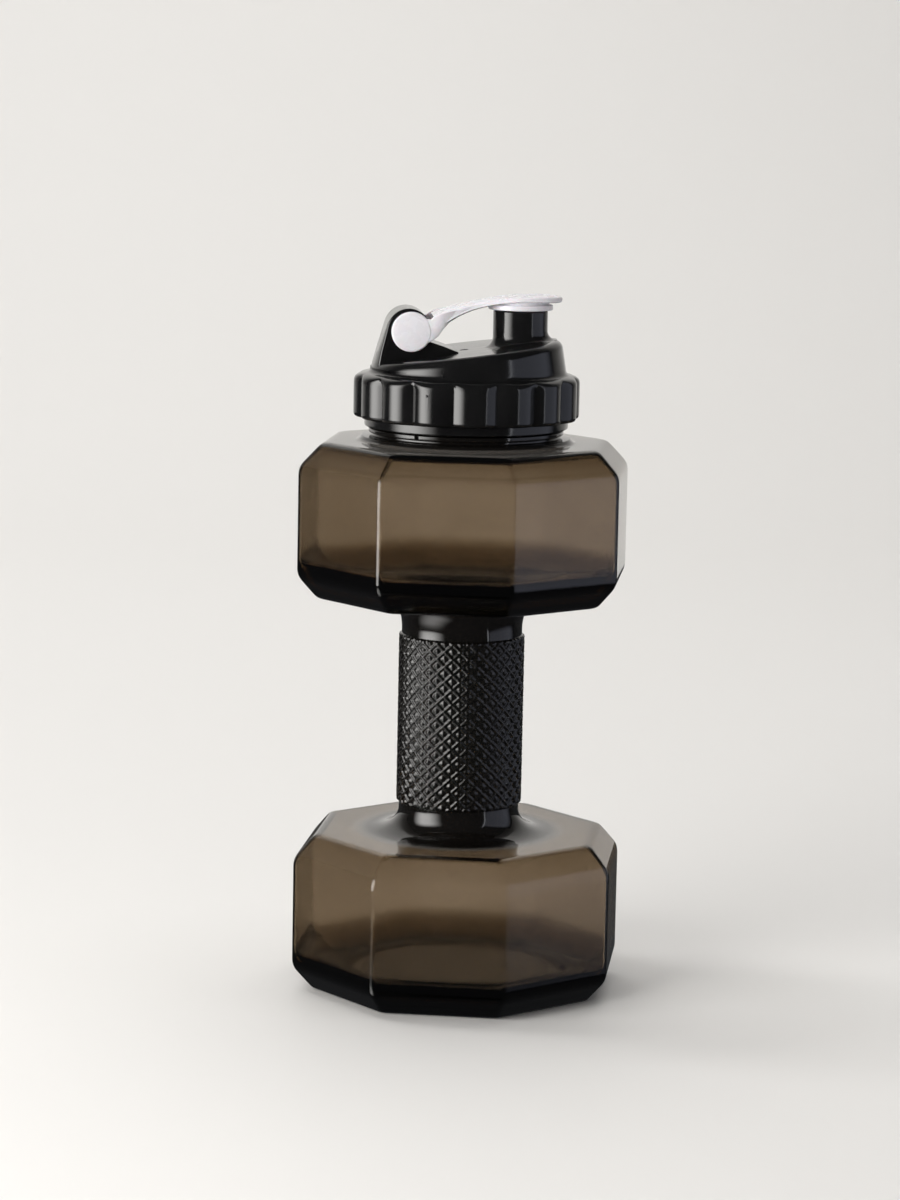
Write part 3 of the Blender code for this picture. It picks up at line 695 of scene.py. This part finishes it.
def make_ear(side):
    """A round ear with a softened rim, on the hinge block's side."""
    n, soft = 72, 0.7
    angle = np.arange(n) * TAU / n
    profile = [(EAR_R - 0.3, EAR_INNER), (EAR_R, EAR_INNER + 0.3), (EAR_R, EAR_OUTER - soft)]
    for k in range(1, 6):
        a = math.pi / 2 * k / 5
        profile.append((EAR_R - soft * (1 - math.cos(a)), EAR_OUTER - soft * (1 - math.sin(a))))
    rings = []
    for radius, y in profile:
        x = HINGE.x + radius * np.cos(angle)
        rings.append(np.stack([x, np.full(n, side * y), HINGE.z + radius * np.sin(angle)], axis=1))
    verts, faces = loft(rings)
    ear = new_object("ear", verts, faces)
    outward(ear)
    return ear


def make_cheek(side):
    """The side of the arm's root, which runs out of the ear's face and dies into the arm."""
    stations = [
        (polar(4.0, -70), polar(4.0, 70)),
        (polar(8.0, -40), polar(8.0, 43)),
        (polar(9.4, -23), polar(9.7, 33)),
        (polar(11.5, -8), polar(11.5, 34.5)),
    ]
    for t, inward in ((0.06, 0.0), (0.12, 0.03), (0.18, 0.08), (0.24, 0.14), (0.30, 0.2)):
        low, top = bezier(LOW_CURVE, t), bezier(TOP_CURVE, t)
        stations.append((low + (top - low) * inward, top + (low - top) * inward))
    rings = []
    for low, top in stations:
        low, top = np.array(low, float), np.array(top, float)
        # Beside the hinge block the cheek keeps outside it; past the block it runs into the arm.
        inner = 11.0 if low[0] > -13.5 else EAR_INNER
        past = max(0.0, low[0] + 11.5)
        outer = min(16.15, arm_half_width(0.5 * (low[0] + top[0])) + 0.05 - 0.35 * past)
        soft = min(0.5, 0.35 * (outer - inner))
        rise = (top - low) / np.hypot(*(top - low)) * soft
        corners = [(inner, low), (outer - soft, low), (outer - 0.3 * soft, low + 0.3 * rise), (outer, low + rise)]
        corners += [(outer, top - rise), (outer - 0.3 * soft, top - 0.3 * rise), (outer - soft, top), (inner, top)]
        rings.append(np.array([(p[0], side * y, p[1]) for y, p in corners]))
    verts, faces = loft(rings)
    cheek = new_object("cheek", verts, faces)
    outward(cheek)
    return cheek


def make_plug():
    """The round flange and hollow plug under the plate."""
    n = 96
    profile = rounded_path(
        [
            (5.0, 298.6, 0),
            (12.2, 298.6, 0),
            (12.2, 296.0, 0.2),
            (13.7, 295.8, 0.4),
            (13.8, 293.6, 0.5),
            (9.2, 293.6, 0.3),
            (9.0, 292.4, 0),
            (7.6, 292.4, 0),
            (7.6, 290.6, 0),
            (9.0, 290.6, 0),
            (8.5, 289.5, 0.3),
            (6.3, 289.5, 0.2),
            (6.2, 295.0, 0),
            (2.0, 295.0, 0),
        ],
        3,
        0.15,
    )
    verts, faces = loft([circle(r, z, n, SPOUT_X) for r, z in profile])
    plug = new_object("plug", verts, faces)
    outward(plug)
    return plug


def make_flip_cap(material):
    """One moulding: the arm with its plate, the plug under it, two ears and the cheeks that join them to the arm."""
    verts, faces = loft(arm_rings())
    cap = new_object("flip_cap_shell", verts, faces)
    outward(cap)
    for solid in [make_plug()] + [make(side) for side in (-1, 1) for make in (make_ear, make_cheek)]:
        combine(cap, solid, "UNION")
    combine(cap, across_cylinder(PIN_HOLE_R, 15.0), "DIFFERENCE")
    cap.data.transform(LID)
    cap.data.materials.clear()
    cap.data.materials.append(material)
    smooth_shade(cap, 40)
    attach(cap, "flip_cap")
    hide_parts("flip_cap")
    return cap


# ---------------------------------------------------------------- materials


def new_material(name):
    """A new material, its nodes, its links and its shader."""
    material = bpy.data.materials.new(name)
    material.use_nodes = True
    nodes, links = material.node_tree.nodes, material.node_tree.links
    return material, nodes, links, nodes["Principled BSDF"]


def noise(nodes, links, scale, detail=3.0):
    """Noise over the object's own coordinates, in features per metre."""
    coords = nodes.get("Texture Coordinate") or nodes.new("ShaderNodeTexCoord")
    texture = nodes.new("ShaderNodeTexNoise")
    texture.inputs["Scale"].default_value = scale
    texture.inputs["Detail"].default_value = detail
    texture.inputs["Roughness"].default_value = 0.55
    links.new(coords.outputs["Object"], texture.inputs["Vector"])
    return texture.outputs["Fac"]


def ramp(nodes, links, value, stops):
    """A colour ramp through (position, colour) stops."""
    node = nodes.new("ShaderNodeValToRGB")
    elements = node.color_ramp.elements
    while len(elements) < len(stops):
        elements.new(0.5)
    for element, (position, colour) in zip(elements, stops):
        element.position = position
        element.color = (*colour, 1.0)
    links.new(value, node.inputs["Fac"])
    return node.outputs["Color"]


def span(nodes, links, value, low, high, source=(0.3, 0.7)):
    """The value's source range laid over low to high, and clamped."""
    node = nodes.new("ShaderNodeMapRange")
    node.inputs["From Min"].default_value = source[0]
    node.inputs["From Max"].default_value = source[1]
    node.inputs["To Min"].default_value = low
    node.inputs["To Max"].default_value = high
    links.new(value, node.inputs["Value"])
    return node.outputs["Result"]


def bump(nodes, links, shader, height, strength, distance):
    """Bumps the shader's normal."""
    node = nodes.new("ShaderNodeBump")
    node.inputs["Strength"].default_value = strength
    node.inputs["Distance"].default_value = distance
    links.new(height, node.inputs["Height"])
    links.new(node.outputs["Normal"], shader.inputs["Normal"])


def smoked_plastic():
    """Smoky brown PETG: hazy and wavy in the chambers' slim walls, near black in the thick neck, grip and flares. The
    near black also reaches the block tops round the grip, where it is partly the thicker wall and partly painted
    shade with a painted reflection of the dark grip.
    """
    material, nodes, links, shader = new_material("smoked_plastic")
    split = nodes.new("ShaderNodeSeparateXYZ")
    waves = noise(nodes, links, 26.0, 2.0)
    links.new(nodes["Texture Coordinate"].outputs["Object"], split.inputs["Vector"])
    flat = nodes.new("ShaderNodeCombineXYZ")
    links.new(split.outputs["X"], flat.inputs["X"])
    links.new(split.outputs["Y"], flat.inputs["Y"])
    radius = nodes.new("ShaderNodeVectorMath")
    radius.operation = "LENGTH"
    links.new(flat.outputs["Vector"], radius.inputs[0])
    # Near black within 38.5 to 47.5 mm of the axis and up the neck: thick wall on the grip, flares and neck, and on
    # the block tops round the grip also painted shade and a painted reflection of the dark grip.
    off_axis = span(nodes, links, radius.outputs["Value"], 0.0, 1.0, (0.0385, 0.0475))
    off_axis.node.interpolation_type = "SMOOTHSTEP"
    below_neck = span(nodes, links, split.outputs["Z"], 1.0, 0.0, (0.2366, 0.2382))
    both = nodes.new("ShaderNodeMath")
    both.operation = "MULTIPLY"
    links.new(off_axis, both.inputs[0])
    links.new(below_neck, both.inputs[1])
    clear_and_unshaded = both.outputs["Value"]
    colour = ramp(nodes, links, waves, [(0.30, (0.80, 0.745, 0.68)), (0.70, (0.86, 0.81, 0.75))])
    tint = nodes.new("ShaderNodeMix")
    tint.data_type = "RGBA"
    # The near-black colour: thick plastic, and on the block tops round the grip painted shade and a painted
    # reflection of the grip as well.
    tint.inputs["A"].default_value = (0.010, 0.0088, 0.0075, 1.0)
    links.new(clear_and_unshaded, tint.inputs["Factor"])
    links.new(colour, tint.inputs["B"])
    links.new(tint.outputs["Result"], shader.inputs["Base Color"])
    links.new(span(nodes, links, clear_and_unshaded, 0.55, 1.0, (0.0, 1.0)), shader.inputs["Transmission Weight"])
    haze = span(nodes, links, noise(nodes, links, 60.0, 4.0), 0.05, 0.10)
    links.new(haze, shader.inputs["Roughness"])
    shader.inputs["IOR"].default_value = 1.50
    bump(nodes, links, shader, noise(nodes, links, 45.0, 1.0), 0.06, 0.0015)
    absorb = nodes.new("ShaderNodeVolumeAbsorption")
    absorb.inputs["Color"].default_value = (0.33, 0.22, 0.05, 1.0)
    absorb.inputs["Density"].default_value = 520.0
    links.new(absorb.outputs["Volume"], nodes["Material Output"].inputs["Volume"])
    return material


def black_plastic(name, roughness):
    """Glossy black polypropylene with a faint mould grain and slightly duller, paler patches."""
    material, nodes, links, shader = new_material(name)
    shader.inputs["IOR"].default_value = 1.50
    patches = noise(nodes, links, 55.0, 5.0)
    colour = ramp(nodes, links, patches, [(0.35, (0.004, 0.004, 0.0042)), (0.75, (0.008, 0.008, 0.0082))])
    links.new(colour, shader.inputs["Base Color"])
    smears = noise(nodes, links, 140.0, 4.0)
    links.new(span(nodes, links, smears, roughness * 0.8, roughness * 1.35), shader.inputs["Roughness"])
    bump(nodes, links, shader, noise(nodes, links, 1800.0, 2.0), 0.05, 0.0002)
    return material


def white_plastic():
    """White satin polypropylene, faintly lavender, with light passing a little way in."""
    material, nodes, links, shader = new_material("white_plastic")
    shader.inputs["IOR"].default_value = 1.49
    shader.inputs["Subsurface Weight"].default_value = 0.15
    shader.inputs["Subsurface Scale"].default_value = 0.002
    patches = noise(nodes, links, 70.0, 4.0)
    colour = ramp(nodes, links, patches, [(0.3, (0.70, 0.69, 0.74)), (0.7, (0.76, 0.75, 0.79))])
    links.new(colour, shader.inputs["Base Color"])
    links.new(span(nodes, links, noise(nodes, links, 160.0, 3.0), 0.22, 0.32), shader.inputs["Roughness"])
    bump(nodes, links, shader, noise(nodes, links, 1500.0, 2.0), 0.06, 0.0002)
    return material


def silicone(name, dark, light):
    """Matte silicone with a dusty, slightly uneven surface."""
    material, nodes, links, shader = new_material(name)
    shader.inputs["Subsurface Weight"].default_value = 0.1
    shader.inputs["Subsurface Scale"].default_value = 0.001
    patches = noise(nodes, links, 240.0, 5.0)
    links.new(ramp(nodes, links, patches, [(0.3, dark), (0.7, light)]), shader.inputs["Base Color"])
    links.new(span(nodes, links, noise(nodes, links, 420.0), 0.45, 0.62), shader.inputs["Roughness"])
    bump(nodes, links, shader, noise(nodes, links, 2600.0), 0.1, 0.0002)
    return material


def ground_steel():
    """Stainless pin with fine rings from centreless grinding."""
    material, nodes, links, shader = new_material("ground_steel")
    shader.inputs["Metallic"].default_value = 1.0
    patches = noise(nodes, links, 300.0)
    colour = ramp(nodes, links, patches, [(0.3, (0.50, 0.50, 0.51)), (0.7, (0.62, 0.62, 0.63))])
    links.new(colour, shader.inputs["Base Color"])
    links.new(span(nodes, links, noise(nodes, links, 900.0), 0.2, 0.34), shader.inputs["Roughness"])
    bump(nodes, links, shader, noise(nodes, links, 5000.0), 0.1, 0.0001)
    return material


def dress_cad_nodes():
    """Better materials for the CAD nodes that stay as they are."""
    pale = silicone("clear_silicone", (0.62, 0.62, 0.61), (0.74, 0.74, 0.73))
    dark = silicone("black_silicone", (0.018, 0.018, 0.018), (0.034, 0.034, 0.034))
    finishes = {
        "lid_gasket": pale,
        "spout_seal": pale,
        "vent_valve": dark,
        "mixing_grid": black_plastic("grid_plastic", 0.30),
        "hinge_pin": ground_steel(),
    }
    for name, material in finishes.items():
        frame["nodes"][name].material_slots[0].material = material


# ---------------------------------------------------------------- studio


def glow_material(name, colour, strength, soft):
    """Emission that fades towards the panel's left end, its right end, and its top and bottom, over those shares."""
    material = bpy.data.materials.new(name)
    material.use_nodes = True
    nodes, links = material.node_tree.nodes, material.node_tree.links
    nodes.remove(nodes["Principled BSDF"])
    coords = nodes.new("ShaderNodeTexCoord")
    split = nodes.new("ShaderNodeSeparateXYZ")
    links.new(coords.outputs["Object"], split.inputs["Vector"])
    height = nodes.new("ShaderNodeMath")
    height.operation = "ABSOLUTE"
    links.new(split.outputs["Y"], height.inputs[0])
    across, up = split.outputs["X"], height.outputs["Value"]
    fades = ((across, -0.5, soft[0] - 0.5), (across, 0.5, 0.5 - soft[1]), (up, 0.5, 0.5 - soft[2]))
    level = None
    for value, start, end in fades:
        edge = span(nodes, links, value, 0.0, 1.0, (start, end))
        edge.node.interpolation_type = "SMOOTHSTEP"
        if level is None:
            level = edge
            continue
        both = nodes.new("ShaderNodeMath")
        both.operation = "MULTIPLY"
        links.new(level, both.inputs[0])
        links.new(edge, both.inputs[1])
        level = both.outputs["Value"]
    glow = nodes.new("ShaderNodeEmission")
    glow.inputs["Color"].default_value = (*colour, 1.0)
    links.new(span(nodes, links, level, 0.0, strength, (0.0, 1.0)), glow.inputs["Strength"])
    links.new(glow.outputs["Emission"], nodes["Material Output"].inputs["Surface"])
    return material


def reflected_panel(name, place, size, colour, strength, soft):
    """A softbox that glossy surfaces reflect, with no light of its own on the rest of the studio."""
    verts = [(-0.5, -0.5, 0), (0.5, -0.5, 0), (0.5, 0.5, 0), (-0.5, 0.5, 0)]
    mesh = bpy.data.meshes.new(name)
    mesh.from_pydata(verts, [], [(0, 1, 2, 3)])
    panel = bpy.data.objects.new(name, mesh)
    turn = (place - AIM).to_track_quat("Z", "Y").to_matrix().to_4x4()
    panel.matrix_world = Matrix.Translation(place) @ turn @ Matrix.Diagonal((size[0], size[1], 1, 1))
    bpy.context.scene.collection.objects.link(panel)
    mesh.materials.append(glow_material(name, colour, strength, soft))
    panel.visible_camera = False
    panel.visible_diffuse = False
    panel.visible_shadow = False


def paper_sheet(name, profile, material):
    """A sheet of paper across the view, drawn along (distance behind the bottle, height) points in metres."""
    turn = Matrix.Rotation(VIEW_AZIMUTH, 4, "Z")
    verts, faces = [], []
    for y, z in profile:
        verts += [turn @ Vector((-6, y, z)), turn @ Vector((6, y, z))]
    for k in range(len(profile) - 1):
        faces.append((2 * k, 2 * k + 1, 2 * k + 3, 2 * k + 2))
    mesh = bpy.data.meshes.new(name)
    mesh.from_pydata([tuple(v) for v in verts], [], faces)
    mesh.shade_smooth()
    sheet = bpy.data.objects.new(name, mesh)
    sheet.location.z = -0.0002
    bpy.context.scene.collection.objects.link(sheet)
    mesh.materials.append(material)
    return sheet


def make_backdrop():
    """A pale seamless sweep. Its floor and front are left out of reflections, which keeps the bottle's sides dark."""
    material, nodes, links, shader = new_material("paper")
    shader.inputs["Base Color"].default_value = (0.80, 0.79, 0.775, 1.0)
    shader.inputs["Roughness"].default_value = 0.6
    shader.inputs["Specular IOR Level"].default_value = 0.2
    curve = [(1.4 + 1.0 * math.sin(a), 1.0 * (1 - math.cos(a))) for a in np.linspace(0, math.pi / 2, 13)]
    floor_end = 1.2
    paper_sheet("backdrop", [(floor_end, 0.0), *curve, (2.4, 5.0)], material)
    rise = [(-y, z) for y, z in reversed(curve)]
    front = paper_sheet("floor", [(-2.4, 5.0), *rise, (floor_end, 0.0)], material)
    front.visible_glossy = False


def area_light(name, place, aim, size, power, colour):
    """A soft light that isn't itself seen in reflections."""
    data = bpy.data.lights.new(name, "AREA")
    data.shape = "RECTANGLE"
    data.size, data.size_y = size
    data.energy = power
    data.color = colour
    light = bpy.data.objects.new(name, data)
    light.location = place
    light.rotation_euler = (Vector(aim) - Vector(place)).to_track_quat("-Z", "Y").to_euler()
    light.visible_camera = False
    light.visible_glossy = False
    light.visible_transmission = False
    bpy.context.scene.collection.objects.link(light)


def around(azimuth, elevation, distance):
    """A place round the bottle. The azimuth is in degrees to the right of the camera."""
    a = VIEW_AZIMUTH + math.radians(azimuth)
    e = math.radians(elevation)
    back = Vector((math.sin(a) * math.cos(e), -math.cos(a) * math.cos(e), math.sin(e)))
    return AIM + back * distance


def make_studio():
    world = bpy.data.worlds.new("room")
    world.use_nodes = True
    background = world.node_tree.nodes["Background"]
    background.inputs["Color"].default_value = (0.93, 0.95, 1.0, 1.0)
    background.inputs["Strength"].default_value = 0.05
    bpy.context.scene.world = world
    bpy.context.scene.view_settings.view_transform = "Standard"
    reflected_panel("left_softbox", around(-62, 6, 0.9), (1.15, 1.3), (1.0, 0.985, 0.96), 8.5, (0.4, 0.5, 0.35))
    reflected_panel("low_softbox", around(-65, -42, 0.85), (1.05, 0.9), (1.0, 0.985, 0.96), 3.0, (0.5, 0.5, 0.4))
    reflected_panel("right_window", around(86, 6, 1.0), (1.3, 1.2), (0.80, 0.84, 1.0), 0.7, (0.02, 0.3, 0.2))
    reflected_panel("window_edge", around(51, 6, 0.95), (0.045, 1.2), (0.9, 0.93, 1.0), 4.0, (0.3, 0.3, 0.2))
    area_light("overhead", (-0.3, 1.3, 2.8), (-0.3, 1.3, 0), (3.6, 2.4), 46.0, (1.0, 0.99, 0.97))
    area_light("wall_light", (-1.2, 0.3, 1.9), (-0.7, 2.4, 0.5), (1.2, 0.6), 20.0, (1.0, 0.99, 0.975))
    area_light("front_wall_light", (0.5, -0.2, 2.6), (0, -2.4, 1.0), (1.6, 0.6), 11.0, (1.0, 0.99, 0.975))
    area_light("left_fill", around(-46, 14, 1.1), AIM, (0.8, 1.0), 14.5, (1.0, 0.985, 0.96))
    area_light("right_fill", around(86, 10, 1.3), AIM, (0.8, 1.0), 1.6, (0.9, 0.93, 1.0))


make_camera()
make_body(smoked_plastic())
make_lid(black_plastic("black_plastic", 0.12))
make_flip_cap(white_plastic())
dress_cad_nodes()
make_backdrop()
make_studio()
